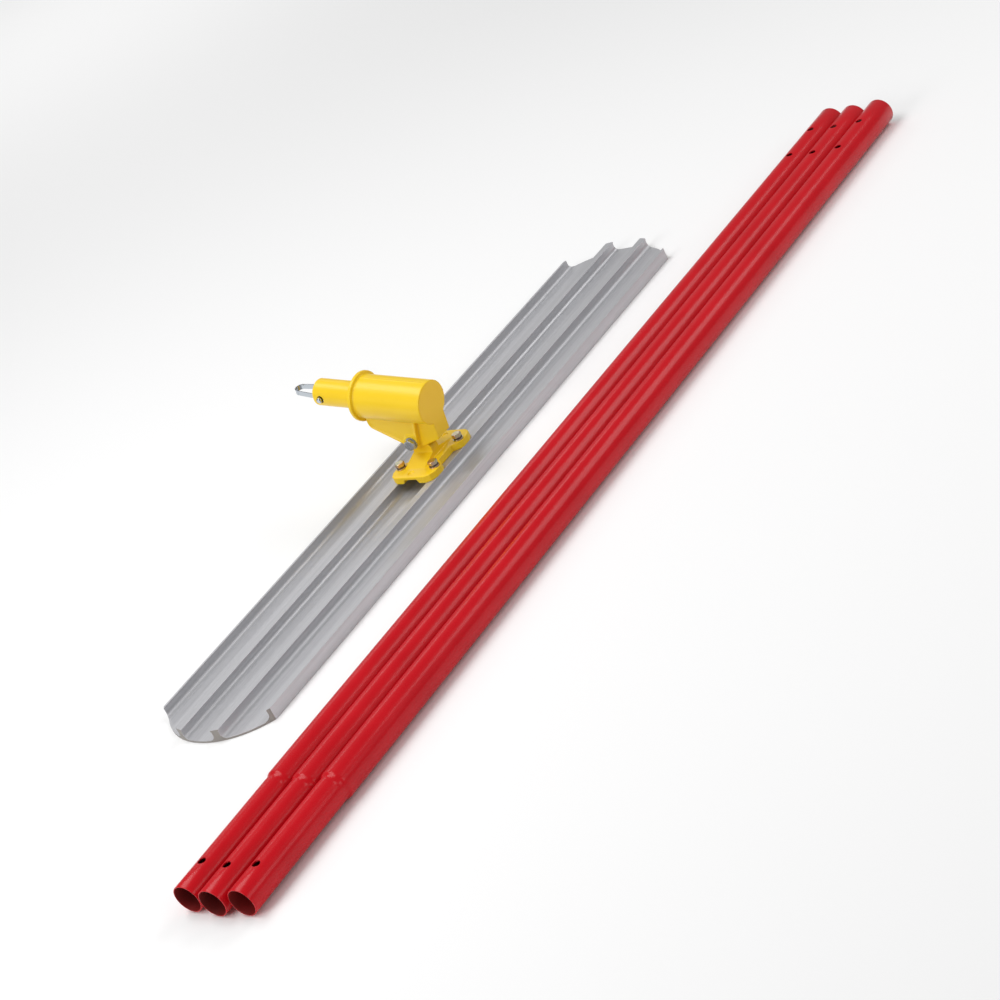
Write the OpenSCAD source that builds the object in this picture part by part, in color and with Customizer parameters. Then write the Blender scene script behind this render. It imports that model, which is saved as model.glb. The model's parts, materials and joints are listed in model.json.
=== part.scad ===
// Bull float kit: ribbed aluminium blade with round ends, cast worm-gear tilt bracket
// and three swaged handle sections lying beside the blade.
// Frame: +X along the blade, +Y towards the handle side, +Z up,
// origin at the centre of the blade's underside.

/* [Blade] */
// Length of the blade over its round ends
blade_l = 1219.2; // [900:0.1:1600]
// Width of the blade
blade_w = 203.2; // [180:0.1:260]
// Thickness of the floor plate
plate_t = 3.2; // [2.5:0.1:4]
// Height of the four ribs above the underside
rib_h = 19.05; // [16:0.05:24]
// Width of the inner ribs' flat tops
rib_top_w = 13; // [11:0.5:16]
// Thickness of the edge ribs at the top
edge_rib_t = 3.6; // [3:0.1:6]
// Radius of the fillet between a rib and the floor plate
rib_fillet = 8; // [4:0.5:10]
// Radius of the round ends
end_r = 127; // [110:1:200]

/* [Bracket base] */
// Length of the base along the blade
base_l = 120; // [110:1:140]
// Thickness of the base plate
base_t = 11; // [9:0.5:14]
// Half width of the bolt lobes
lobe_y = 41.5; // [40:0.5:44]
// Half width of the waist between the lobes
waist_y = 28; // [24:1:30]
// Bolt position along the blade, from the centre
bolt_x = 34; // [31:1:37]
// Bolt position across the blade, from the centre
bolt_y = 32; // [31:0.5:34]

/* [Tilt joint] */
// Pivot position across the blade
pivot_y = 4; // [2:1:8]
// Pivot height above the underside
pivot_z = 62.5; // [60:0.5:66]
// Tilt of the handle axis above level, as stored
rest_tilt = 10; // [8:1:12]
// Distance from the pivot to the worm's axis
centre_d = 64; // [64:1:64]
// Gear module
gear_m = 3; // [3:1:3]
// Teeth on the full gear circle that the sector is cut from
gear_z = 32; // [32:1:32]
// Width of the gear sector
sector_w = 10; // [8:1:12]

/* [Gear housing] */
// Outer radius of the worm barrel
barrel_r = 32.5; // [31.5:0.5:34]
// Length of the barrel from the closed end to the flange's face
barrel_l = 125; // [120:1:130]
// Radius of the flange at the open end
flange_r = 37.5; // [36:0.5:39]
// Half width of the pie-shaped gear case
case_hw = 19; // [17:1:21]

/* [Handle adapter] */
// Outer radius of the adapter, a sliding fit in a handle section
adapter_r = 20.2; // [20:0.05:20.3]
// Length of the adapter beyond the flange
adapter_l = 79; // [74:1:84]
// Distance from the adapter's end to its snap button
button_in = 14; // [12:1:16]

/* [Handle sections] */
// Length of one handle section
tube_l = 1828.8; // [1500:0.1:1900]
// Outer radius of a handle section
tube_r = 22.225; // [22.225:0.001:22.225]
// Wall thickness of a handle section
tube_t = 1.65; // [1.5:0.05:1.8]
// Length of the reduced end that plugs into the next section
swage_l = 194; // [150:1:220]
// Outer radius of the reduced end
swage_r = 20.2; // [20:0.05:20.3]
// Position of the first section's near end along X
tube_near_x = -906; // [-950:1:-880]
// Position of the axis of the section nearest the blade
tube_y = -240.3; // [-260:0.1:-150]
// Gap between neighbouring sections
tube_gap = 0.45; // [0.35:0.05:5]

/* [Hidden] */
$fn = 96;
e = 0.01;
fit = 0.02;                           // play left in a press or push fit

// ---- blade
rib_y = blade_w / 6;                  // the ribs divide the width in three
rib_lip = 1.2;                        // overhang of a rib's cap over its web
rib_lip_t = 2.4;
rib_web_hw = rib_top_w / 2 - rib_lip;
tap_r = 4.02;                         // tapped hole for the blade bolts
tap_z = 6;                            // bottom of the tapped holes

// ---- bracket base
base_z = rib_h;
base_top = base_z + base_t;
tower_hw = 8.5;
tower_rear_y = -16;
tower_front_y = 23;
tower_rear_z = 47;
knuckle_r = 12;
ramp_x = 42;
ramp_z = 38.5;
ramp_y0 = -16;
ramp_y1 = 23.5;
slot_floor_z = 34;                    // floor of the pocket that holds the sector
tongue_y0 = -12;
tongue_y1 = 14.8;
channel_top_w = 23;
channel_bottom_w = 29;
channel_h = 6;
slot_r = 4.5;                         // half width of the bolt slots
slot_y0 = 28.5;                       // centres of the slot's round ends
slot_y1 = 35.5;

// ---- blade bolts, M8
bolt_r = 4;
bolt_head_h = 5.7;
bolt_af = 13;
flat_washer_t = 1.8;
lock_washer_t = 2.6;
bolt_tip_z = 9;

// ---- gears
pitch_r = gear_m * gear_z / 2;
tip_r = pitch_r + gear_m;
root_r = pitch_r - 1.25 * gear_m;
pressure = 20;
tooth_deg = 360 / gear_z;
gear_slack = 0.28;                    // taken off each flank of a sector tooth
worm_slack = 0.2;                     // taken off each flank of the worm
worm_starts = 2;
worm_r = centre_d - pitch_r;
worm_tip = worm_r + gear_m - 0.2;
worm_root = worm_r - 1.25 * gear_m;
axial_pitch = PI * gear_m;
lead = axial_pitch * worm_starts;
lead_angle = atan(lead / (2 * PI * worm_r));
worm_l = 52;
worm_slices = 66;
sector_rim_r = root_r - 3;
hub_r = 10.5;
web_w = sector_w - 1;                 // the sector's plate is thinner than its rim
sector_twist = sector_w * tan(lead_angle) / pitch_r * 180 / PI;
tooth_first = -1;                     // teeth counted from the one in mesh at rest
tooth_last = 4;

// ---- pivot, M10
pivot_r = 5;
bush_bore_r = pivot_r + 0.05;         // running fit on the bolt
bush_r = 7;
pivot_washer_r = 10;
pivot_washer_t = 1.6;
pivot_head_h = 6.4;
pivot_af = 16;
nut_h = 9;

// ---- housing, in its own frame: origin on the pivot, +Y towards the handle
cap_s = -46;
flange_s = cap_s + barrel_l;
flange_t = 5.5;
boss_r = 10;
edge_deg = 24.9;                      // slope of the case's lower edge
corner_r = 12;
corner_c = [59.3, 29.4];
edge_in = 0.05;
step_deg = 10.4;                      // lean of the case's rear edge
panel_x = -11.6;                        // face of the recessed side panel
panel_corner = [-5, -14.3];
border_w = 3;                         // raised border round the case's side faces
border_h = 1.4;
recess_top = 36.5;                    // just under the barrel
rear_low = 6.3;
ridge_w = 2.4;
ridge_h = 0.6;
chamber_r = 27;
front_bore_r = 24;
chamber_s0 = -33;
chamber_s1 = 45;
pocket_r = 12;
pocket_s = -41;
cavity_r = tip_r + 2.5;
cavity_hw = 7.2;
knuckle_cavity_hw = 9.1;
knuckle_cavity_r = 16.5;
wall = 4;

// ---- worm shaft and adapter
journal_r = 8;
rear_bush_s1 = -28;
tail_r = 9;
shaft_r = 11;
collar_r = 23;
collar_s0 = 42;
collar_s1 = 48;
front_bush_s0 = 50;
front_bush_s1 = 68;
tail_s1 = 62;
front_journal_r = adapter_r + 0.6;    // its end is the handle section's stop
stop_s = flange_s - 0.5;
adapter_end_s = flange_s + adapter_l;
adapter_bore_r = 16.2;
adapter_bore_s = 70;
roll_pin_r = 2.5;
roll_pin_s = 45;

// ---- snap button and its spring
button_s = adapter_end_s - button_in;
button_r = 4.4;
button_lead = 0.5;                    // lets the button swing clear of its hole
button_hole_r = 5.6;
clip_t = 1.2;
clip_w = 8;
bend_r = 8.5;
bend_s = adapter_end_s + 35.5;
arm_deg = 6.4;                        // how far each arm spreads
arm_l = 58;
button_tip_x = adapter_r + 4.6;

// ---- handle sections
hole_r = 5.6;
near_hole = 45;
far_hole_1 = 68;
far_hole_2 = swage_l - near_hole;
shoulder_l = 9;
near_x = [tube_near_x, tube_near_x - 3, tube_near_x + 2];

// ------------------------------------------------------------------ helpers

// draws its children in the housing's frame
module in_housing() {
    translate([0, pivot_y, pivot_z]) rotate([rest_tilt, 0, 0]) children();
}

// draws its children in the worm's frame: +Z runs along the handle axis
module on_worm_axis() {
    in_housing() translate([0, 0, centre_d]) rotate([-90, 0, 0]) children();
}

// cylinder along the handle axis, from s0 to s1
module barrel(s0, s1, r) {
    translate([0, 0, s0]) cylinder(h = s1 - s0, r = r);
}

// ring along the handle axis
module ring(s0, s1, r_out, r_in) {
    difference() {
        barrel(s0, s1, r_out);
        barrel(s0 - 1, s1 + 1, r_in);
    }
}

// extrudes a Y-Z outline along X
module along_x(x0, x1) {
    translate([x0, 0, 0]) rotate([90, 0, 90]) linear_extrude(x1 - x0) children();
}

// the four bolt places
module at_bolts() {
    for (sx = [-1, 1], sy = [-1, 1]) translate([sx * bolt_x, sy * bolt_y, 0]) children();
}

// hexagon across its flats
module hexagon(af) {
    circle(r = af / 2 / cos(30), $fn = 6);
}

// hex head with a chamfered top, standing on z = 0
module hex_head(af, h) {
    intersection() {
        linear_extrude(h) hexagon(af);
        union() {
            cylinder(h = h - 0.8, r = af);
            translate([0, 0, h - 0.8]) cylinder(h = 0.8, r1 = af / 2 + 0.9, r2 = af / 2 - 0.5);
        }
    }
}

// ------------------------------------------------------------------ blade

// one side of a rib's foot: the concave fillet down to the plate
module fillet(y, side) {
    translate([y, plate_t]) difference() {
        translate([side > 0 ? 0 : -rib_fillet, -1]) square([rib_fillet, rib_fillet + 1]);
        translate([side * rib_fillet, rib_fillet]) circle(r = rib_fillet, $fn = 48);
    }
}

module inner_rib(y) {
    translate([y - rib_web_hw, 0]) square([2 * rib_web_hw, rib_h]);
    translate([y - rib_top_w / 2, rib_h - rib_lip_t]) square([rib_top_w, rib_lip_t]);
    fillet(y + rib_web_hw, 1);
    fillet(y - rib_web_hw, -1);
}

module edge_rib(side) {
    outer = side * blade_w / 2;
    inner = side * (blade_w / 2 - edge_rib_t);
    translate([min(outer, inner), 0]) square([edge_rib_t, rib_h]);
    fillet(inner, -side);
}

module blade_section() {
    translate([-blade_w / 2, 0]) square([blade_w, plate_t]);
    for (side = [-1, 1]) {
        edge_rib(side);
        inner_rib(side * rib_y);
    }
}

// plan view: straight sides, one arc across each end
module blade_plan() {
    intersection() {
        translate([-blade_l / 2, -blade_w / 2]) square([blade_l, blade_w]);
        translate([end_r - blade_l / 2, 0]) circle(r = end_r, $fn = 180);
    }
    translate([end_r - blade_l / 2, -blade_w / 2]) square([blade_l - 2 * end_r, blade_w]);
    intersection() {
        translate([-blade_l / 2, -blade_w / 2]) square([blade_l, blade_w]);
        translate([blade_l / 2 - end_r, 0]) circle(r = end_r, $fn = 180);
    }
}

module blade() {
    color([0.72, 0.72, 0.74]) difference() {
        intersection() {
            along_x(-blade_l / 2 - 1, blade_l / 2 + 1) blade_section();
            translate([0, 0, -1]) linear_extrude(rib_h + 2) blade_plan();
        }
        at_bolts() translate([0, 0, tap_z]) cylinder(h = rib_h, r = tap_r);
    }
}

// ------------------------------------------------------------------ bracket base

module base_plan() {
    half_l = base_l / 2;
    quarter = [[half_l, waist_y], [half_l - 4.5, 36], [half_l - 15, lobe_y],
               [31, lobe_y], [24, 38], [17, waist_y]];
    mirrored = [for (i = [len(quarter) - 1:-1:0]) [-quarter[i][0], quarter[i][1]]];
    upper = concat(quarter, mirrored);
    lower = [for (i = [len(upper) - 1:-1:0]) [upper[i][0], -upper[i][1]]];
    polygon(concat(upper, lower));
}

module tower_outline() {
    front = pivot_y + knuckle_r;
    polygon([[tower_rear_y, base_top - 2], [tower_front_y, base_top - 2],
             [front, pivot_z], [pivot_y - 2, pivot_z + knuckle_r - 0.5],
             [tower_rear_y, tower_rear_z]]);
    translate([pivot_y, pivot_z]) circle(r = knuckle_r);
}

// sloped gussets from the bolt lobes up to the tower
module ramps() {
    translate([0, ramp_y1, 0]) rotate([90, 0, 0]) linear_extrude(ramp_y1 - ramp_y0)
        polygon([[-ramp_x, base_top - 1], [-tower_hw + 1, ramp_z], [tower_hw - 1, ramp_z],
                 [ramp_x, base_top - 1]]);
}

module bracket_base() {
    color([0.95, 0.78, 0.12]) difference() {
        union() {
            translate([0, 0, base_z]) linear_extrude(base_t) base_plan();
            along_x(-tower_hw, tower_hw) tower_outline();
            ramps();
        }
        // lightening channel along the underside
        along_x(-base_l, base_l) polygon([[-channel_bottom_w / 2, base_z - 1],
            [channel_bottom_w / 2, base_z - 1], [channel_bottom_w / 2, base_z],
            [channel_top_w / 2, base_z + channel_h],
            [-channel_top_w / 2, base_z + channel_h], [-channel_bottom_w / 2, base_z]]);
        // pocket for the gear sector's tongue, open at the top
        translate([-web_w / 2 - fit, tongue_y0 - fit, slot_floor_z])
            cube([web_w + 2 * fit, tongue_y1 - tongue_y0 + 2 * fit, 60]);
        // pivot bore
        translate([-20, pivot_y, pivot_z]) rotate([0, 90, 0]) cylinder(h = 40, r = bush_r + fit);
        // bolt slots across the blade
        for (sx = [-1, 1], sy = [-1, 1]) translate([sx * bolt_x, sy * slot_y0, base_z - 1])
            linear_extrude(base_t + 2) {
                circle(r = slot_r);
                translate([0, sy * (slot_y1 - slot_y0)]) circle(r = slot_r);
                translate([-slot_r, sy > 0 ? 0 : slot_y0 - slot_y1])
                    square([2 * slot_r, slot_y1 - slot_y0]);
            }
        // casting dimples near both ends
        for (sx = [-1, 1]) translate([sx * 48, 4, base_top - 2]) cylinder(h = 4, r = 5);
    }
}

module blade_bolts() {
    head_z = base_top + flat_washer_t + lock_washer_t;
    color([0.72, 0.66, 0.45]) at_bolts() {
        translate([0, 0, bolt_tip_z]) cylinder(h = head_z - bolt_tip_z + e, r = bolt_r);
        translate([0, 0, head_z]) rotate(18) hex_head(bolt_af, bolt_head_h);
    }
}

module washer(z, r_out, r_in, t) {
    translate([0, 0, z]) difference() {
        cylinder(h = t, r = r_out);
        translate([0, 0, -1]) cylinder(h = t + 2, r = r_in);
    }
}

module flat_washers() {
    color([0.7, 0.66, 0.5]) at_bolts() washer(base_top, 8, bolt_r + 0.2, flat_washer_t);
}

// split spring washers, each with a saw-cut gap
module lock_washers() {
    color([0.35, 0.33, 0.3]) at_bolts() difference() {
        washer(base_top + flat_washer_t, 7, bolt_r + 0.1, lock_washer_t);
        rotate(40) translate([0, -0.5, base_top]) cube([12, 1, 12]);
    }
}

// ------------------------------------------------------------------ gear sector

function polar(r, a) = [r * cos(a), r * sin(a)];
base_circle = pitch_r * cos(pressure);

// angle that an involute turns through between its base circle and radius r
function involute_deg(r) = r <= base_circle ? 0 :
    let (t = sqrt(pow(r / base_circle, 2) - 1)) t * 180 / PI - atan(t);

// half the angle a tooth covers at radius r
function half_tooth(r) = (axial_pitch / 4 - gear_slack) / pitch_r * 180 / PI
    + involute_deg(pitch_r) - involute_deg(r);

flank_steps = 5;
function flank_r(i) = base_circle + (tip_r - base_circle) * i / flank_steps;

function tooth_points(centre) = concat(
    [polar(root_r, centre - half_tooth(base_circle) - 0.6)],
    [for (i = [0:flank_steps]) polar(flank_r(i), centre - half_tooth(flank_r(i)))],
    [for (i = [flank_steps:-1:0]) polar(flank_r(i), centre + half_tooth(flank_r(i)))],
    [polar(root_r, centre + half_tooth(base_circle) + 0.6)]);

mesh_deg = 90 + rest_tilt;
function tooth_centre(k) = mesh_deg + k * tooth_deg;
rim_first = tooth_centre(tooth_first) - 4;
rim_last = tooth_centre(tooth_last) + 4;

// toothed rim only, so the sector's plate and hub stay exact
module sector_rim() {
    teeth = [for (k = [tooth_first:tooth_last]) each tooth_points(tooth_centre(k))];
    inner = [for (i = [6:-1:0]) polar(sector_rim_r, rim_first + (rim_last - rim_first) * i / 6)];
    polygon(concat([polar(root_r, rim_first)], teeth, [polar(root_r, rim_last)], inner));
}

module sector_plate() {
    // fan from the hub to the rim
    intersection() {
        circle(r = sector_rim_r + 0.8);
        polygon([[0, -4], polar(2 * tip_r, rim_first + 3), polar(2 * tip_r, rim_last - 3)]);
    }
    circle(r = hub_r);
    // tongue that stands in the tower's slot
    translate([tongue_y0 - pivot_y, slot_floor_z - pivot_z])
        square([tongue_y1 - tongue_y0, pivot_z - slot_floor_z]);
}

module gear_sector() {
    half = sector_w / 2;
    color([0.55, 0.56, 0.58]) difference() {
        translate([0, pivot_y, pivot_z]) union() {
            translate([-half, 0, 0]) rotate([90, 0, 90]) rotate(-sector_twist / 2)
                linear_extrude(sector_w, twist = -sector_twist, slices = 4) sector_rim();
            along_x(-web_w / 2, web_w / 2) sector_plate();
        }
        translate([-20, pivot_y, pivot_z]) rotate([0, 90, 0]) cylinder(h = 40, r = bush_r + fit);
        // lightening hole in the fan
        translate([-20, pivot_y, pivot_z]) rotate([mesh_deg + 17 - 90, 0, 0])
            translate([0, 0, 28]) rotate([0, 90, 0]) cylinder(h = 40, r = 8);
    }
}

module pivot_bush() {
    color([0.72, 0.5, 0.25]) translate([0, pivot_y, pivot_z]) rotate([0, 90, 0])
        washer(-tower_hw, bush_r, bush_bore_r, 2 * tower_hw);
}

// ------------------------------------------------------------------ gear housing

edge_n = [sin(edge_deg), -cos(edge_deg)];      // normal of the case's lower edge
step_n = [-cos(step_deg), -sin(step_deg)];     // normal of the case's rear edge

// pie-shaped gear case: round the pivot, straight to the rounded corner
module case_outline() {
    corner_side = [corner_c[0] + corner_r - edge_in, corner_c[1]];
    step_top = [-(boss_r + sin(step_deg) * centre_d) / cos(step_deg), centre_d];
    // the lower edge is set in a hair, so that it crosses both circles cleanly
    polygon([(boss_r - edge_in) * edge_n, corner_c + (corner_r - edge_in) * edge_n,
             corner_c, corner_side, [corner_side[0], centre_d], step_top,
             (boss_r - edge_in) * step_n, [0, 0]]);
    translate(corner_c) circle(r = corner_r);
    circle(r = boss_r);
}

// rear of the case, between the closed end and the pivot
module rear_outline() {
    polygon([[cap_s, rear_low], panel_corner, [0, -9], [20, 10], [20, centre_d],
             [cap_s, centre_d]]);
}

// shallow recess of a side face, kept clear of the pivot's washer
module side_recess() {
    inset_r = corner_r - border_w;
    function rear_x(y) = -(boss_r - border_w + sin(step_deg) * y) / cos(step_deg);
    lower_start = 15 * [cos(edge_deg), sin(edge_deg)] + (boss_r - border_w) * edge_n;
    corner = [for (i = [0:6]) let (a = (edge_deg - 90) * (1 - i / 6))
              corner_c + inset_r * [cos(a), sin(a)]];
    polygon(concat([lower_start], corner,
                   [[corner_c[0] + inset_r, recess_top], [rear_x(recess_top), recess_top],
                    [rear_x(14), 14], [6, 13]]));
}

// room for the sector, open below for the tower
module sector_room() {
    rim_line = [for (s = [20, 60]) [s, (s * edge_n[0] - boss_r + wall) / cos(edge_deg)]];
    intersection() {
        circle(r = cavity_r);
        polygon([[cap_s + wall, -60], [20, -60], rim_line[0], rim_line[1], [60, 60],
                 [cap_s + wall, 60]]);
    }
}

// wider room round the tower's knuckle
module knuckle_room() {
    circle(r = knuckle_cavity_r);
    polygon([[0, knuckle_cavity_r], [-38, 0], [-38, -40], [24, -40], [knuckle_cavity_r, 0]]);
}

module gear_housing() {
    color([0.96, 0.79, 0.13]) difference() {
        union() {
            on_worm_axis() {
                barrel(cap_s, flange_s, barrel_r);
                barrel(flange_s - flange_t, flange_s, flange_r);
                // parting ridge left by the mould
                translate([-ridge_w / 2, -barrel_r - ridge_h, cap_s + 3])
                    cube([ridge_w, 10, barrel_l - flange_t - 2]);
            }
            in_housing() {
                along_x(-case_hw, case_hw) case_outline();
                along_x(panel_x, case_hw) rear_outline();
            }
        }
        on_worm_axis() {
            barrel(chamber_s0, chamber_s1, chamber_r);
            barrel(chamber_s1 - 1, flange_s + 1, front_bore_r);
            barrel(pocket_s, chamber_s0 + 1, pocket_r);
            // groove for the retaining ring
            barrel(69.4, 71.2, front_bore_r + 1.6);
        }
        in_housing() {
            along_x(-case_hw - 1, border_h - case_hw) side_recess();
            along_x(case_hw - border_h, case_hw + 1) side_recess();
            along_x(-cavity_hw, cavity_hw) sector_room();
            along_x(-knuckle_cavity_hw, knuckle_cavity_hw) knuckle_room();
            translate([-40, 0, 0]) rotate([0, 90, 0]) cylinder(h = 80, r = pivot_r + fit);
        }
    }
}

module pivot_bolt() {
    under_head = case_hw + pivot_washer_t;
    shank = 2 * under_head + nut_h + 2;
    color([0.75, 0.76, 0.78]) in_housing() rotate([0, 90, 0]) {
        translate([0, 0, -under_head - pivot_head_h]) mirror([0, 0, 1])
            translate([0, 0, -pivot_head_h]) hex_head(pivot_af, pivot_head_h);
        translate([0, 0, -under_head - e]) cylinder(h = shank, r = pivot_r);
    }
}

module pivot_washers() {
    color([0.6, 0.58, 0.5]) in_housing() rotate([0, 90, 0])
        for (z = [-case_hw - pivot_washer_t, case_hw])
            washer(z, pivot_washer_r, pivot_r + 0.25, pivot_washer_t);
}

// lock nut with its rounded nylon collar
module pivot_nut() {
    color([0.75, 0.76, 0.78]) in_housing() rotate([0, 90, 0])
        translate([0, 0, case_hw + pivot_washer_t]) difference() {
            union() {
                hex_head(pivot_af, nut_h - 2);
                cylinder(h = nut_h, r = 6.8);
            }
            translate([0, 0, -1]) cylinder(h = nut_h + 2, r = pivot_r + fit);
        }
}

module front_bush() {
    color([0.72, 0.5, 0.25]) on_worm_axis()
        ring(front_bush_s0, front_bush_s1, front_bore_r - fit, front_journal_r + 0.05);
}

module rear_bush() {
    color([0.72, 0.5, 0.25]) on_worm_axis()
        ring(pocket_s, rear_bush_s1, pocket_r - fit, journal_r + 0.05);
}

module thrust_washers() {
    color([0.6, 0.6, 0.62]) on_worm_axis() {
        ring(collar_s1 + 0.1, front_bush_s0, front_bore_r - 0.2, front_journal_r + 0.3);
        ring(rear_bush_s1, -worm_l / 2 - 0.1, pocket_r, journal_r + 0.3);
    }
}

// internal retaining ring with a gap and two lugs
module retaining_ring() {
    color([0.3, 0.3, 0.32]) on_worm_axis() difference() {
        ring(69.5, 71.1, front_bore_r + 1.5, front_journal_r + 1);
        translate([-4, 0, 60]) cube([8, 40, 20]);
    }
}

module shaft_seal() {
    color([0.12, 0.12, 0.13]) on_worm_axis()
        ring(73, 77.5, front_bore_r - fit, front_journal_r + 0.05);
}

// ------------------------------------------------------------------ worm

// half the thread's thickness along the axis, at radius r
function half_thread(r) = axial_pitch / 4 - worm_slack - (r - worm_r) * tan(pressure);
function thread_deg(r) = half_thread(r) * 360 / lead;

thread_steps = 4;
function thread_r(i) = worm_root + (worm_tip - worm_root) * i / thread_steps;

// a gap of the thread faces the pivot at s = 0 when the bracket is at rest
thread_start = 90 - 360 * (worm_l / 2 + axial_pitch / 2) / lead;

module worm_profile() {
    turn = 360 / worm_starts;
    root_half = thread_deg(worm_root);
    points = [for (k = [0:worm_starts - 1]) let (c = thread_start + k * turn)
        each concat(
            [for (i = [0:thread_steps]) polar(thread_r(i), c - thread_deg(thread_r(i)))],
            [for (i = [thread_steps:-1:0]) polar(thread_r(i), c + thread_deg(thread_r(i)))],
            [for (i = [1:4]) polar(worm_root, c + root_half + (turn - 2 * root_half) * i / 5)])];
    polygon(points);
}

module worm() {
    color([0.5, 0.51, 0.53]) on_worm_axis() difference() {
        union() {
            translate([0, 0, -worm_l / 2])
                linear_extrude(worm_l, twist = -360 * worm_l / lead, slices = worm_slices,
                               segments = 1) worm_profile();
            barrel(pocket_s + 1, -worm_l / 2 + 1, journal_r);
            barrel(worm_l / 2 - 1, collar_s0 - 2, shaft_r);
            barrel(collar_s0 - 3, tail_s1 - 1, tail_r);
        }
        translate([-40, 0, roll_pin_s]) rotate([0, 90, 0]) cylinder(h = 80, r = roll_pin_r + fit);
    }
}

// ------------------------------------------------------------------ adapter

module handle_adapter() {
    color([0.96, 0.79, 0.13]) on_worm_axis() difference() {
        union() {
            barrel(collar_s0, collar_s1, collar_r);
            barrel(collar_s0, stop_s, front_journal_r);
            barrel(stop_s - 1, adapter_end_s - 1.5, adapter_r);
            translate([0, 0, adapter_end_s - 1.5])
                cylinder(h = 1.5, r1 = adapter_r, r2 = adapter_r - 1.2);
        }
        barrel(collar_s0 - 1, tail_s1, tail_r + fit);
        barrel(adapter_bore_s, adapter_end_s + 1, adapter_bore_r);
        translate([-40, 0, roll_pin_s]) rotate([0, 90, 0]) cylinder(h = 80, r = roll_pin_r + fit);
        translate([-40, 0, button_s]) rotate([0, 90, 0]) cylinder(h = 40, r = button_hole_r);
    }
}

module adapter_pin() {
    color([0.45, 0.45, 0.47]) on_worm_axis() translate([0, 0, roll_pin_s]) rotate([0, 90, 0])
        difference() {
            translate([0, 0, -collar_r + 2]) cylinder(h = 2 * collar_r - 4, r = roll_pin_r);
            translate([0, 0, -40]) cylinder(h = 80, r = 1.3);
        }
}

// straight arm of the clip, from the end of the bend back into the adapter
module clip_strip(side, gap) {
    translate([side * bend_r, -clip_w / 2, bend_s]) rotate([0, -side * arm_deg, 0])
        translate([-clip_t / 2, 0, -arm_l]) cube([clip_t, clip_w, arm_l - gap]);
}

// the bend and the plain arm
module spring_clip() {
    color([0.8, 0.81, 0.83]) on_worm_axis() {
        translate([0, 0, bend_s]) rotate([90, 0, 0]) difference() {
            translate([0, 0, -clip_w / 2]) cylinder(h = clip_w, r = bend_r + clip_t / 2);
            translate([0, 0, -clip_w]) cylinder(h = 2 * clip_w, r = bend_r - clip_t / 2);
            translate([-20, -40, -20]) cube([40, 40, 40]);
        }
        clip_strip(1, -0.1);
    }
}

// the arm that carries the button; it flexes about the end of the bend
module clip_arm() {
    color([0.8, 0.81, 0.83]) on_worm_axis() difference() {
        clip_strip(-1, 0.35);
        translate([-40, 0, button_s + button_lead]) rotate([0, 90, 0]) cylinder(h = 40, r = 2.02);
    }
}

// round-nosed button with its rivet shank, as an outline turned about the button's axis
module button_outline(arm_x, seat) {
    nose = button_tip_x - 2.4;
    square_off = [[0, arm_x - 2], [2 - fit, arm_x - 2], [2 - fit, seat], [button_r, seat],
                  [button_r, nose]];
    dome = [for (a = [30:30:90]) [button_r - 2.4 + 2.4 * cos(a), nose + 2.4 * sin(a)]];
    polygon(concat(square_off, dome, [[0, button_tip_x]]));
}

// snap button, riveted through its arm
module snap_button() {
    arm_x = bend_r + (bend_s - button_s) * tan(arm_deg);
    seat = arm_x + clip_t / 2 + 0.35;
    color([0.8, 0.81, 0.83]) on_worm_axis() translate([0, 0, button_s + button_lead])
        rotate([0, -90, 0]) rotate_extrude() button_outline(arm_x, seat);
}

// ------------------------------------------------------------------ handle sections

// outline of the tube's wall, turned about its axis
module tube_section() {
    s0 = swage_l;
    s1 = swage_l + shoulder_l;
    polygon([[swage_r, 0], [swage_r, s0], [tube_r, s1], [tube_r, tube_l],
             [tube_r - tube_t, tube_l], [tube_r - tube_t, s1], [swage_r - tube_t, s0],
             [swage_r - tube_t, 0]]);
}

module handle_section(i) {
    y = tube_y - (i - 1) * (2 * tube_r + tube_gap);
    color([0.75, 0.08, 0.1]) translate([near_x[i - 1], y, tube_r]) difference() {
        rotate([0, 90, 0]) rotate_extrude() tube_section();
        for (x = [near_hole, tube_l - far_hole_1, tube_l - far_hole_2])
            translate([x, 0, 0]) cylinder(h = 40, r = hole_r);
    }
}

module handle_section_1() { handle_section(1); }
module handle_section_2() { handle_section(2); }
module handle_section_3() { handle_section(3); }

// ------------------------------------------------------------------ nodes

blade();
bracket_base();
blade_bolts();
lock_washers();
flat_washers();
gear_sector();
pivot_bush();
gear_housing();
pivot_bolt();
pivot_washers();
pivot_nut();
front_bush();
rear_bush();
thrust_washers();
retaining_ring();
shaft_seal();
worm();
handle_adapter();
adapter_pin();
spring_clip();
clip_arm();
snap_button();
handle_section_1();
handle_section_2();
handle_section_3();
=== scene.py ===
import json
import math

import bmesh
import bpy
import numpy as np
from mathutils import Matrix, Vector
from mathutils.geometry import delaunay_2d_cdt

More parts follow.
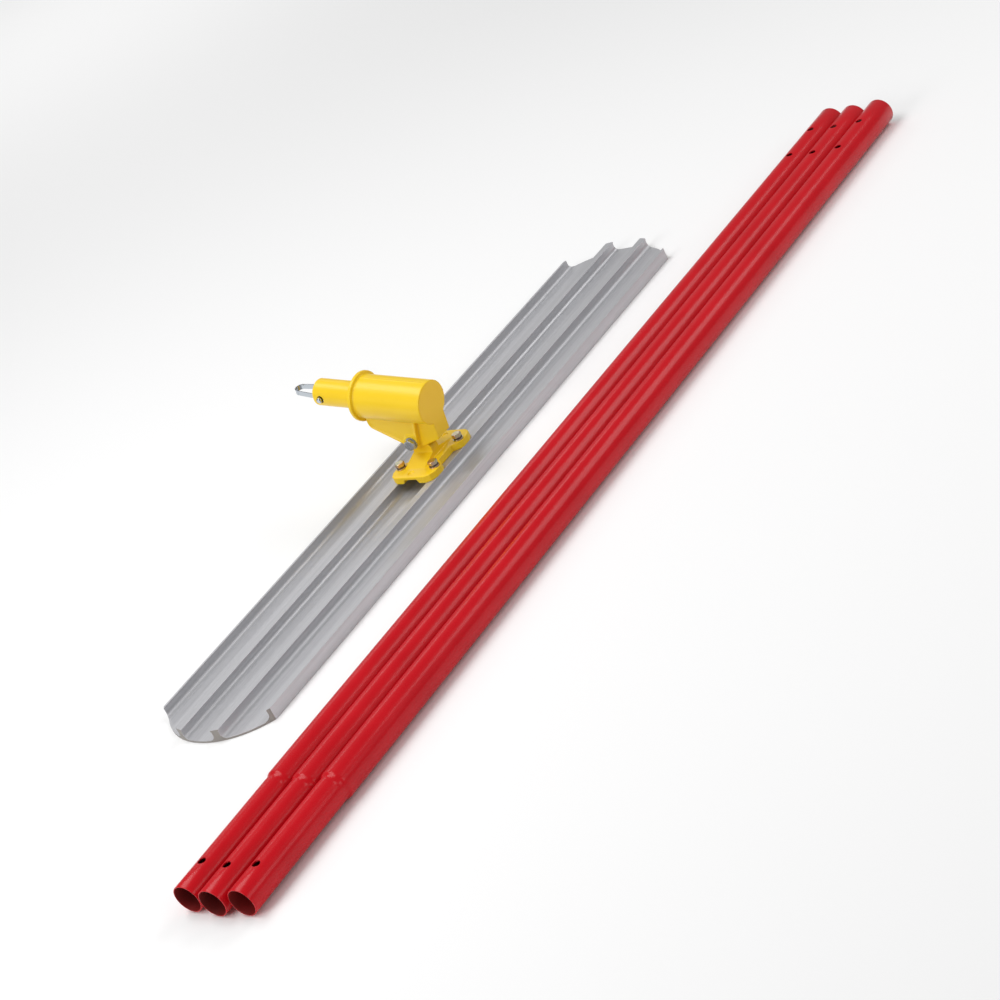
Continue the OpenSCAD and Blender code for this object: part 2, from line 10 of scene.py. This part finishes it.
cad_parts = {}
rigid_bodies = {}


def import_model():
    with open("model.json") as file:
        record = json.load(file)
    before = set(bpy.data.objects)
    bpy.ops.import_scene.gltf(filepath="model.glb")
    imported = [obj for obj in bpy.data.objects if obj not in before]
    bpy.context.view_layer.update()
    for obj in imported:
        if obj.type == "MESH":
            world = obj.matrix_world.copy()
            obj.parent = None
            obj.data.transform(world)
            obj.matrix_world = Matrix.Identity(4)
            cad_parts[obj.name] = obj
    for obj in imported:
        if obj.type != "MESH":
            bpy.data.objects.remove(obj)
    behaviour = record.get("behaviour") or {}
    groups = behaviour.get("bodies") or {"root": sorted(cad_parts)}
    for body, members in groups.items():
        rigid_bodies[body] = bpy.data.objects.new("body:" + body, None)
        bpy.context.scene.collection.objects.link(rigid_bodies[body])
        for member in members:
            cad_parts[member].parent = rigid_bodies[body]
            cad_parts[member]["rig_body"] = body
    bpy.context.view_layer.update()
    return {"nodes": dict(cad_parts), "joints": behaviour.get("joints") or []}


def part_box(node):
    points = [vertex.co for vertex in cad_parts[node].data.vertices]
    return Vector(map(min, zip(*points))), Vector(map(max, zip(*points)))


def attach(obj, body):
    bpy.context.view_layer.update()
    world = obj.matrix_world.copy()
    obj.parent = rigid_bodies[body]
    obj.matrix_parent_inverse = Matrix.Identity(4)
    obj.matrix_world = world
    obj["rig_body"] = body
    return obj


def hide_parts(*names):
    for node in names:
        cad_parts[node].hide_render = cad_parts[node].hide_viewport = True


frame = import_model()
nodes = frame["nodes"]

MM = 0.001


# ------------------------------------------------------------------ measures
joints = {j["name"]: j for j in frame["joints"]}
along = Vector(joints["adapter_twist"]["axis"]).normalized()
axis_point = Vector(joints["adapter_twist"]["pos_m"])
blade_low, blade_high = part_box("blade")
# the detailed blade reaches this much further than the CAD blade at each end
end_gain = 0.2 * MM
half_l = (blade_high.x - blade_low.x) / 2 + end_gain
half_w = (blade_high.y - blade_low.y) / 2
rib_h = blade_high.z


# ------------------------------------------------------------------ node helpers
def new_material(name):
    mat = bpy.data.materials.new(name)
    mat.use_nodes = True
    tree = mat.node_tree
    return mat, tree, tree.nodes["Principled BSDF"]


def add(tree, kind, **inputs):
    n = tree.nodes.new(kind)
    for key, value in inputs.items():
        n.inputs[key.replace("_", " ")].default_value = value
    return n


def coords(tree, scale=(1, 1, 1)):
    place = tree.nodes.new("ShaderNodeTexCoord")
    mapping = tree.nodes.new("ShaderNodeMapping")
    mapping.inputs["Scale"].default_value = scale
    tree.links.new(place.outputs["Object"], mapping.inputs["Vector"])
    return mapping.outputs["Vector"]


def noise(tree, vector, scale, detail=2.0, rough=0.5):
    n = add(tree, "ShaderNodeTexNoise", Scale=scale, Detail=detail, Roughness=rough)
    tree.links.new(vector, n.inputs["Vector"])
    return n.outputs["Fac"]


def ramp(tree, value, stops):
    n = tree.nodes.new("ShaderNodeValToRGB")
    elements = n.color_ramp.elements
    while len(elements) < len(stops):
        elements.new(0.5)
    for element, (place, colour) in zip(elements, stops):
        element.position = place
        element.color = (*colour, 1)
    tree.links.new(value, n.inputs["Fac"])
    return n.outputs["Color"]


def remap(tree, value, low, high):
    """Spreads the middle of a noise, where nearly all of its values lie, over low to high."""
    n = add(tree, "ShaderNodeMapRange", From_Min=0.3, From_Max=0.7, To_Min=low, To_Max=high)
    tree.links.new(value, n.inputs["Value"])
    return n.outputs["Result"]


def mix(tree, factor, a, b):
    """Mixes two colours; the factor and each colour are a socket or a constant."""
    n = tree.nodes.new("ShaderNodeMix")
    n.data_type = "RGBA"
    # the colour sockets of this node, by place, because their names repeat
    for socket, value in ((n.inputs[0], factor), (n.inputs[6], a), (n.inputs[7], b)):
        if isinstance(value, bpy.types.NodeSocket):
            tree.links.new(value, socket)
        else:
            socket.default_value = (*value, 1) if isinstance(value, tuple) else value
    return n.outputs[2]


def bump(tree, bsdf, height, distance, strength=1.0, below=None):
    n = add(tree, "ShaderNodeBump", Strength=strength, Distance=distance)
    tree.links.new(height, n.inputs["Height"])
    if below is not None:
        tree.links.new(below, n.inputs["Normal"])
    tree.links.new(n.outputs["Normal"], bsdf.inputs["Normal"])
    return n.outputs["Normal"]


# ------------------------------------------------------------------ materials
def powder_coat(name, colour, deep, coat, roughness, gloss=0.35):
    """Powder coat: orange peel, slight unevenness of colour, fine unevenness of gloss."""
    mat, tree, bsdf = new_material(name)
    vector = coords(tree)
    broad = noise(tree, vector, 14, 3, 0.55)
    fine = noise(tree, vector, 420, 2, 0.5)
    dust = noise(tree, vector, 1400, 4, 0.6)
    base = mix(tree, remap(tree, broad, 0.0, 1.0), deep, colour)
    tree.links.new(base, bsdf.inputs["Base Color"])
    rough = remap(tree, dust, roughness - 0.05, roughness + 0.08)
    tree.links.new(rough, bsdf.inputs["Roughness"])
    bsdf.inputs["Specular IOR Level"].default_value = gloss
    bsdf.inputs["Coat Weight"].default_value = coat
    bsdf.inputs["Coat Roughness"].default_value = 0.12
    peel = bump(tree, bsdf, fine, 0.00012, 0.5)
    bump(tree, bsdf, broad, 0.0008, 0.25, peel)
    return mat


def drawn_metal(name, colour, roughness, stretch, spread=0.08, metallic=1.0):
    """Metal with fine lines drawn along one axis of the frame."""
    mat, tree, bsdf = new_material(name)
    lines = noise(tree, coords(tree, stretch), 260, 4, 0.7)
    broad_stretch = tuple(s * 0.12 + 0.002 for s in stretch)
    wide = noise(tree, coords(tree, broad_stretch), 60, 3, 0.5)
    light = tuple(min(1.0, c * 1.06) for c in colour)
    dark = tuple(c * 0.9 for c in colour)
    base = mix(tree, remap(tree, lines, 0, 1), dark, light)
    rough = remap(tree, wide, roughness - spread, roughness + spread)
    tree.links.new(base, bsdf.inputs["Base Color"])
    tree.links.new(rough, bsdf.inputs["Roughness"])
    bsdf.inputs["Metallic"].default_value = metallic
    bump(tree, bsdf, lines, 0.00002, 0.6)
    return mat


def plated(name, colour, roughness, tint=None):
    """Plated steel with a patchy passivation tint."""
    mat, tree, bsdf = new_material(name)
    vector = coords(tree)
    patches = noise(tree, vector, 130, 3, 0.6)
    grain = noise(tree, vector, 1600, 3, 0.6)
    base = mix(tree, remap(tree, grain, 0, 1), tuple(c * 0.96 for c in colour), colour)
    if tint:
        base = mix(tree, 0.75, base, ramp(tree, patches, tint))
    tree.links.new(base, bsdf.inputs["Base Color"])
    rough = remap(tree, grain, roughness - 0.03, roughness + 0.06)
    tree.links.new(rough, bsdf.inputs["Roughness"])
    bsdf.inputs["Metallic"].default_value = 1.0
    bump(tree, bsdf, grain, 0.000008, 0.25)
    return mat


def soft_rubber(name):
    mat, tree, bsdf = new_material(name)
    grain = noise(tree, coords(tree), 900, 3, 0.6)
    base = mix(tree, grain, (0.008, 0.008, 0.009), (0.03, 0.03, 0.032))
    tree.links.new(base, bsdf.inputs["Base Color"])
    bsdf.inputs["Roughness"].default_value = 0.6
    bump(tree, bsdf, grain, 0.00008, 0.5)
    return mat


yellow = powder_coat("yellow_powder", (0.94, 0.64, 0.012), (0.91, 0.60, 0.008),
                     coat=0.15, roughness=0.36)
red = powder_coat("red_powder", (0.57, 0.005, 0.012), (0.51, 0.003, 0.009),
                  coat=0.12, roughness=0.25, gloss=0.17)
# thin red overspray inside the tubes, darkened as painted shade deep in the bore
red_bore_shade = powder_coat("red_overspray_painted_shade", (0.26, 0.010, 0.010), (0.10, 0.012, 0.010),
                       coat=0.0, roughness=0.5, gloss=0.2)
aluminium = drawn_metal("mill_aluminium", (0.53, 0.53, 0.55), 0.43, (0.012, 1, 1),
                        spread=0.05, metallic=0.55)
# the blade's end faces: rougher sawn metal, made darker and browner as painted shade on those
# faces
sawn_and_shade = drawn_metal("sawn_aluminium_painted_shade", (0.30, 0.28, 0.26), 0.55, (1, 1, 0.02),
                   spread=0.05, metallic=0.5)
zinc = plated("bright_zinc", (0.48, 0.50, 0.52), 0.24)
gold_zinc = plated("yellow_zinc", (0.70, 0.58, 0.36), 0.30,
                   [(0.30, (0.75, 0.60, 0.28)), (0.45, (0.70, 0.42, 0.42)),
                    (0.55, (0.62, 0.60, 0.36)), (0.68, (0.42, 0.50, 0.50))])
nickel = plated("bright_nickel", (0.52, 0.56, 0.60), 0.14)
# bare iron darkened well past its own tone: partly the metal, partly painted shade in the bore
# and the button's hole
bare_iron_and_shade = plated("bare_cast_iron_painted_shade", (0.085, 0.06, 0.035), 0.5)
spring_steel = plated("dark_spring_steel", (0.16, 0.14, 0.13), 0.38)
machined = drawn_metal("machined_steel", (0.42, 0.43, 0.45), 0.34, (1, 1, 0.05))
bronze = plated("sintered_bronze", (0.62, 0.36, 0.14), 0.42)
rubber = soft_rubber("seal_rubber")

finish = {
    "bracket_base": yellow, "gear_housing": yellow, "handle_adapter": yellow,
    "blade": aluminium, "blade_bolts": gold_zinc, "flat_washers": gold_zinc,
    "lock_washers": spring_steel, "gear_sector": machined,
    "pivot_bush": bronze, "front_bush": bronze, "rear_bush": bronze,
    "pivot_bolt": zinc, "pivot_washers": zinc, "pivot_nut": zinc,
    "thrust_washers": machined, "retaining_ring": spring_steel, "shaft_seal": rubber,
    "worm": machined, "adapter_pin": spring_steel,
    "spring_clip": nickel, "clip_arm": nickel, "snap_button": nickel,
    "handle_section_1": red, "handle_section_2": red, "handle_section_3": red,
}
for name, obj in nodes.items():
    obj.data.materials.clear()
    obj.data.materials.append(finish[name])


def add_piece(name, mesh, node, material):
    """Puts a detailed mesh in the place of one CAD node."""
    obj = bpy.data.objects.new(name, mesh)
    bpy.context.scene.collection.objects.link(obj)
    if not mesh.materials:
        mesh.materials.append(material)
    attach(obj, nodes[node]["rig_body"])
    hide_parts(node)
    return obj


def welded_copy(node):
    """A working copy of a CAD node, its vertices welded, to put modifiers on."""
    temp = bpy.data.objects.new(node + "_temp", nodes[node].data.copy())
    bpy.context.scene.collection.objects.link(temp)
    weld = temp.modifiers.new("weld", "WELD")
    weld.merge_threshold = 1e-6
    return temp


def finished_mesh(temp):
    """The mesh that a working copy's modifiers make; the copy itself goes."""
    graph = bpy.context.evaluated_depsgraph_get()
    mesh = bpy.data.meshes.new_from_object(temp.evaluated_get(graph))
    bpy.data.objects.remove(temp)
    return mesh


def true_round(mesh, faces):
    """Puts vertices that lie near a round face on it, and eases off at the face's borders.

    Each face is (start, direction, length, radius).
    """
    slack, slack_ease, end_ease = 0.45 * MM, 0.1 * MM, 0.8 * MM
    count = len(mesh.vertices)
    place = np.zeros(count * 3, np.float32)
    normal = np.zeros(count * 3, np.float32)
    mesh.vertices.foreach_get("co", place)
    mesh.vertices.foreach_get("normal", normal)
    place, normal = place.reshape(-1, 3), normal.reshape(-1, 3)
    for start, direction, length, r in faces:
        run = (place - np.array(start)) @ np.array(direction)
        centre = np.array(start) + run[:, None] * np.array(direction)
        out = place - centre
        reach = np.linalg.norm(out, axis=1)
        facing = (normal * out).sum(axis=1) / np.maximum(reach, 1e-6)
        # 0 where the surface leans away from the face's normal, 1 where it follows it
        share = np.clip((facing - 0.8) / 0.15, 0, 1)
        share *= np.clip((slack - abs(reach - r)) / slack_ease, 0, 1)
        share *= np.clip(np.minimum(run, length - run) / end_ease, 0, 1)
        place += out * (share * (r / np.maximum(reach, 1e-6) - 1))[:, None]
    mesh.vertices.foreach_set("co", place.astype(np.float32).ravel())
    mesh.update()


def cast(node, voxel, rounds, round_faces=()):
    """A casting: the CAD solid with every edge softly rounded."""
    temp = welded_copy(node)
    remesh = temp.modifiers.new("remesh", "REMESH")
    remesh.mode = "VOXEL"
    remesh.voxel_size = voxel
    smooth = temp.modifiers.new("smooth", "SMOOTH")
    smooth.factor = 0.5
    smooth.iterations = rounds
    mesh = finished_mesh(temp)
    true_round(mesh, round_faces)
    mesh.polygons.foreach_set("use_smooth", [True] * len(mesh.polygons))
    return add_piece(node + "_casting", mesh, node, finish[node])


def crisp(node, width):
    """A machined or pressed piece: the CAD solid with small bevels on its sharp edges."""
    temp = welded_copy(node)
    flat = temp.modifiers.new("flat", "DECIMATE")
    flat.decimate_type = "DISSOLVE"
    flat.angle_limit = math.radians(0.5)
    bevel = temp.modifiers.new("bevel", "BEVEL")
    bevel.width = width
    bevel.segments = 2
    bevel.limit_method = "ANGLE"
    bevel.angle_limit = math.radians(32)
    bevel.use_clamp_overlap = True
    mesh = finished_mesh(temp)
    mesh.polygons.foreach_set("use_smooth", [True] * len(mesh.polygons))
    piece = add_piece(node + "_detail", mesh, node, finish[node])
    shade = piece.modifiers.new("normals", "WEIGHTED_NORMAL")
    shade.keep_sharp = False
    return piece


# ------------------------------------------------------------------ castings
def round_face(start, length, radius):
    """A round face about the barrel's axis, in mm, with start counted from axis_point."""
    return axis_point + along * start * MM, along, length * MM, radius * MM


barrel = round_face(-45.5, 118, 32.5)
flange = round_face(73.6, 5.2, 37.5)
plug = round_face(80, 75.5, 20.2)
journal = round_face(49, 28, 20.8)
cast("gear_housing", 0.9 * MM, 7, (barrel, flange))
cast("bracket_base", 0.8 * MM, 5)
adapter = cast("handle_adapter", 0.8 * MM, 4, (plug, journal))

# the plug's bore and the button's hole are left unpainted: bare iron, darkened further as
# painted shade inside them
bore_start, bore_end, paint_r = 84 * MM, 155 * MM, 19.3 * MM
adapter.data.materials.append(bare_iron_and_shade)
for face in adapter.data.polygons:
    run = (face.center - axis_point).dot(along)
    reach = (face.center - axis_point - along * run).length
    if bore_start < run < bore_end and reach < paint_r:
        face.material_index = 1

# ------------------------------------------------------------------ fasteners and clip
# each with the width of its bevels in mm
for node, width in (("blade_bolts", 0.35), ("flat_washers", 0.2), ("lock_washers", 0.2),
                    ("pivot_bolt", 0.4), ("pivot_washers", 0.2), ("pivot_nut", 0.35),
                    ("spring_clip", 0.2), ("clip_arm", 0.2), ("snap_button", 0.25)):
    crisp(node, width * MM)


# ------------------------------------------------------------------ blade
def round_corners(corners, steps):
    """Outline points of a polygon whose corners (y, z, radius) are rounded."""
    out = []
    for i, (y, z, r) in enumerate(corners):
        here = Vector((y, z))
        before = Vector(corners[i - 1][:2]) - here
        after = Vector(corners[(i + 1) % len(corners)][:2]) - here
        half = before.angle(after) / 2
        reach = r / math.tan(half)
        start = here + before.normalized() * reach
        end = here + after.normalized() * reach
        inward = (before.normalized() + after.normalized()).normalized()
        middle = here + inward * r / math.sin(half)
        first, last = start - middle, end - middle
        for k in range(steps + 1):
            t = k / steps
            swing = first.angle_signed(last) * t
            out.append(middle + Matrix.Rotation(-swing, 2) @ first)
    return out


def subdivide(outline, longest):
    """The same outline with no side longer than the one given."""
    out = []
    for i, p in enumerate(outline):
        q = outline[(i + 1) % len(outline)]
        parts = max(1, math.ceil((q - p).length / longest))
        out += [p.lerp(q, k / parts) for k in range(parts)]
    return out


def blade_mesh():
    """The extrusion's outline in y and z, drawn out along x to the round ends."""
    plate = 3.2 * MM         # thickness of the flat part
    edge = 3.6 * MM          # thickness of an edge rib
    web, cap = 5.3 * MM, 6.5 * MM   # half widths of an inner rib, below and at its lip
    lip = 2.4 * MM           # height of that lip
    foot = 8 * MM            # fillet between plate and rib
    rib_y = half_w / 3
    end_r = 127 * MM
    # one half of the outline: y, z and the radius of each corner
    side = [(half_w, 0, 0.5 * MM), (half_w, rib_h, 0.7 * MM), (half_w - edge, rib_h, 0.7 * MM),
            (half_w - edge, plate, foot), (rib_y + web, plate, foot),
            (rib_y + web, rib_h - lip, 0.3 * MM), (rib_y + cap, rib_h - lip, 0.4 * MM),
            (rib_y + cap, rib_h, 0.6 * MM), (rib_y - cap, rib_h, 0.6 * MM),
            (rib_y - cap, rib_h - lip, 0.4 * MM), (rib_y - web, rib_h - lip, 0.3 * MM),
            (rib_y - web, plate, foot)]
    corners = side + [(-y, z, r) for y, z, r in reversed(side)]
    outline = subdivide(round_corners(corners, 6), 4 * MM)
    count = len(outline)

    def inset(i, depth):
        """Point i, moved into the metal."""
        before = outline[i - 1] - outline[i]
        after = outline[(i + 1) % count] - outline[i]
        tangent = (after.normalized() - before.normalized()).normalized()
        return outline[i] + Vector((-tangent.y, tangent.x)) * depth

    def reach(y):
        """How far the round end goes in x at y."""
        return half_l - end_r + math.sqrt(max(0.0, end_r ** 2 - y ** 2))

    bm = bmesh.new()
    rings = []
    # a small chamfer at each end: its outer ring is inset, its inner one stands back
    back, depth_in = 0.3, 0.25
    for sign, ease, depth in ((-1, 0, depth_in), (-1, back, 0), (1, back, 0), (1, 0, depth_in)):
        ring = []
        for i in range(count):
            p = inset(i, depth * MM)
            ring.append(bm.verts.new((sign * (reach(outline[i].x) - ease * MM), p.x, p.y)))
        rings.append(ring)
    for a, b in zip(rings, rings[1:]):
        for i in range(count):
            j = (i + 1) % count
            bm.faces.new((a[i], b[i], b[j], a[j]))
    # the end caps take the second material, the sawn face darkened as painted shade
    for ring, flip in ((rings[0], False), (rings[-1], True)):
        flat = [Vector((v.co.y, v.co.z)) for v in ring]
        loop = list(range(count))
        tris = delaunay_2d_cdt(flat, [], [loop], 1, 1e-7)[2]
        for tri in tris:
            face = [ring[k] for k in tri]
            bm.faces.new(face if flip else face[::-1]).material_index = 1
    bmesh.ops.recalc_face_normals(bm, faces=bm.faces[:])
    mesh = bpy.data.meshes.new("blade_detail")
    mesh.materials.append(aluminium)
    mesh.materials.append(sawn_and_shade)
    bm.to_mesh(mesh)
    bm.free()
    mesh.shade_smooth()
    mesh.set_sharp_from_angle(angle=math.radians(25))
    return mesh


add_piece("blade_detail", blade_mesh(), "blade", aluminium)


# ------------------------------------------------------------------ handle sections
def section_mesh(node):
    """A tube with one end swaged down, rounded rims and three cross holes."""
    low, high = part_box(node)
    outer = (high.z - low.z) / 2
    near, length = low.x, high.x - low.x
    cy, cz = (low.y + high.y) / 2, (low.z + high.z) / 2
    wall = 1.65 * MM
    swage, swage_l = 20.2 * MM, 194 * MM     # radius and length of the swaged end
    shoulder = 9 * MM                        # length of the cone up to the full radius
    crimp_d, crimp_w = 0.24 * MM, 2.2 * MM   # shallow groove at the foot of that cone
    around = 96                              # faces round the tube
    patch, pitch = 6, 1.5 * MM               # half size of a hole's patch, in faces
    hole_r = 5.6 * MM
    button = 45 * MM                         # from the swaged end to its button's hole
    holes = [button, length - 68 * MM, length - (swage_l - button)]

    def radius(x):
        t = min(1.0, max(0.0, (x - swage_l - 2 * MM) / (shoulder - 2 * MM)))
        crimp = crimp_d * math.exp(-((x - swage_l) / crimp_w) ** 2)
        return swage + (outer - swage) * t * t * (3 - 2 * t) - crimp

    # rows of vertices along the tube: dense at the cone and the holes, sparse between
    places = {0.5 * MM, length - 0.5 * MM, 120 * MM}
    places |= {swage_l + shoulder * k / 12 for k in range(-8, 15)}
    places |= {length * k / 12 for k in range(2, 12)}
    for h in holes:
        places |= {h + pitch * k for k in range(-patch, patch + 1)}
    rows = sorted(places)

    bm = bmesh.new()

    def top_point(x, r, lateral):
        z = math.sqrt(max(0.0, r * r - lateral * lateral))
        return bm.verts.new((near + x, cy + lateral, cz + z))

    def ring(x, r):
        turns = [2 * math.pi * k / around for k in range(around)]
        return [bm.verts.new((near + x, cy + r * math.sin(a), cz + r * math.cos(a)))
                for a in turns]

    def strip(a, b, skip=()):
        for k in range(around):
            if k not in skip:
                j = (k + 1) % around
                bm.faces.new((a[k], b[k], b[j], a[j]))

    hole_cells = {k % around for k in range(-patch, patch)}
    rims = []
    for depth in (0.0, wall):
        grid = [ring(x, radius(x) - depth) for x in rows]
        for i in range(len(rows) - 1):
            middle = (rows[i] + rows[i + 1]) / 2
            inside = any(abs(middle - h) < pitch * patch for h in holes)
            strip(grid[i], grid[i + 1], hole_cells if inside else ())
        # each hole: a square patch left out of the wall, filled by rings that go round
        edges_of_holes = []
        for h in holes:
            first = min(range(len(rows)), key=lambda i: abs(rows[i] - (h - pitch * patch)))
            last = min(range(len(rows)), key=lambda i: abs(rows[i] - (h + pitch * patch)))
            border = [grid[last][k % around] for k in range(-patch, patch + 1)]
            border += [grid[i][patch] for i in range(last - 1, first, -1)]
            border += [grid[first][k % around] for k in range(patch, -patch - 1, -1)]
            border += [grid[i][-patch % around] for i in range(first + 1, last)]
            loops = [border]
            for share in (0.5, 1.0):
                loop = []
                for v in border:
                    dx, dy = v.co.x - near - h, v.co.y - cy
                    reach = math.hypot(dx, dy)
                    r = reach + (hole_r - reach) * share
                    x = h + dx / reach * r
                    loop.append(top_point(x, radius(x) - depth, dy / reach * r))
                loops.append(loop)
            for a, b in zip(loops, loops[1:]):
                for k in range(len(border)):
                    j = (k + 1) % len(border)
                    bm.faces.new((a[k], a[j], b[j], b[k]))
            edges_of_holes.append(loops[-1])
        rims.append((grid[0], grid[-1], edges_of_holes))
    for a, b in zip(rims[0][2], rims[1][2]):
        for k in range(len(a)):
            j = (k + 1) % len(a)
            bm.faces.new((a[k], a[j], b[j], b[k]))
    # rounded rims at both ends
    for end, x0, inward in ((0, 0.0, 1), (1, length, -1)):
        r = radius(x0)
        chain = [rims[0][end]]
        for off, drop in ((0.18, 0.14), (0.0, 0.5), (0.0, wall / MM - 0.5),
                          (0.18, wall / MM - 0.14)):
            chain.append(ring(x0 + inward * off * MM, r - drop * MM))
        chain.append(rims[1][end])
        for a, b in zip(chain, chain[1:]):
            strip(a, b)
    # the inside of the tube has the overspray's material: thin overspray, darkened as painted
    # shade inside the tube
    for face in bm.faces:
        c = face.calc_center_median()
        if math.hypot(c.y - cy, c.z - cz) < radius(c.x - near) - 0.8 * wall:
            face.material_index = 1
    bmesh.ops.recalc_face_normals(bm, faces=bm.faces[:])
    mesh = bpy.data.meshes.new(node)
    mesh.materials.append(red)
    mesh.materials.append(red_bore_shade)
    bm.to_mesh(mesh)
    bm.free()
    mesh.shade_smooth()
    mesh.set_sharp_from_angle(angle=math.radians(50))
    return mesh


for n in (1, 2, 3):
    node = f"handle_section_{n}"
    add_piece(f"{node}_tube", section_mesh(node), node, red)


# ------------------------------------------------------------------ floor
def make_floor():
    mesh = bpy.data.meshes.new("floor")
    size = 14.0
    mesh.from_pydata([(-size, -size, 0), (size, -size, 0), (size, size, 0), (-size, size, 0)],
                     [], [(0, 1, 2, 3)])
    floor = bpy.data.objects.new("floor", mesh)
    bpy.context.scene.collection.objects.link(floor)
    floor.location.z = -0.2 * MM
    mat, tree, bsdf = new_material("pale_floor")
    bsdf.inputs["Base Color"].default_value = (0.93, 0.93, 0.93, 1)
    bsdf.inputs["Roughness"].default_value = 0.9
    bsdf.inputs["Specular IOR Level"].default_value = 0.1
    mesh.materials.append(mat)


make_floor()


# ------------------------------------------------------------------ light
def area(name, place, target, size, power):
    light = bpy.data.lights.new(name, "AREA")
    light.shape = "RECTANGLE"
    light.size, light.size_y = size
    light.energy = power
    obj = bpy.data.objects.new(name, light)
    obj.location = place
    obj.rotation_euler = (Vector(target) - Vector(place)).to_track_quat("-Z", "Y").to_euler()
    bpy.context.scene.collection.objects.link(obj)


# name, place and target in metres, size in metres, power in watts
area("top_softbox", (-0.6, 0.7, 3.0), (0, 0, 0), (3.2, 1.4), 61)
area("left_softbox", (-3.4, 0.6, 1.7), (0, 0, 0.05), (1.8, 1.6), 44)
area("front_softbox", (0.2, -3.6, 1.8), (0, 0, 0), (2.6, 1.2), 22)
area("right_softbox", (2.2, -1.5, 2.2), (0, 0, 0), (2.0, 1.2), 24)
area("far_floor_softbox", (2.6, 3.4, 2.4), (3.0, 3.9, 0), (2.4, 2.4), 44)

world = bpy.data.worlds.new("studio")
bpy.context.scene.world = world
world.use_nodes = True
world.node_tree.nodes["Background"].inputs["Color"].default_value = (1, 1, 1, 1)
world.node_tree.nodes["Background"].inputs["Strength"].default_value = 0.27
bpy.context.scene.view_settings.view_transform = "Standard"


# ------------------------------------------------------------------ camera
# fitted to the blade's edges and the tubes' outlines in the photograph
camera_place = Vector((-2.2777, -2.4142, 1.5176))
camera_aim = Vector((-0.0857, -0.1737, 0.0))
camera_roll = math.radians(-27.04)
camera_data = bpy.data.cameras.new("camera")
camera_data.lens = 89.41
camera_data.sensor_width = 36.0
camera_data.clip_end = 50
camera = bpy.data.objects.new("camera", camera_data)
turn = (camera_aim - camera_place).to_track_quat("-Z", "Y").to_matrix().to_4x4()
roll = Matrix.Rotation(camera_roll, 4, "Z")
camera.matrix_world = Matrix.Translation(camera_place) @ turn @ roll
bpy.context.scene.collection.objects.link(camera)
bpy.context.scene.camera = camera

bpy.context.view_layer.update()
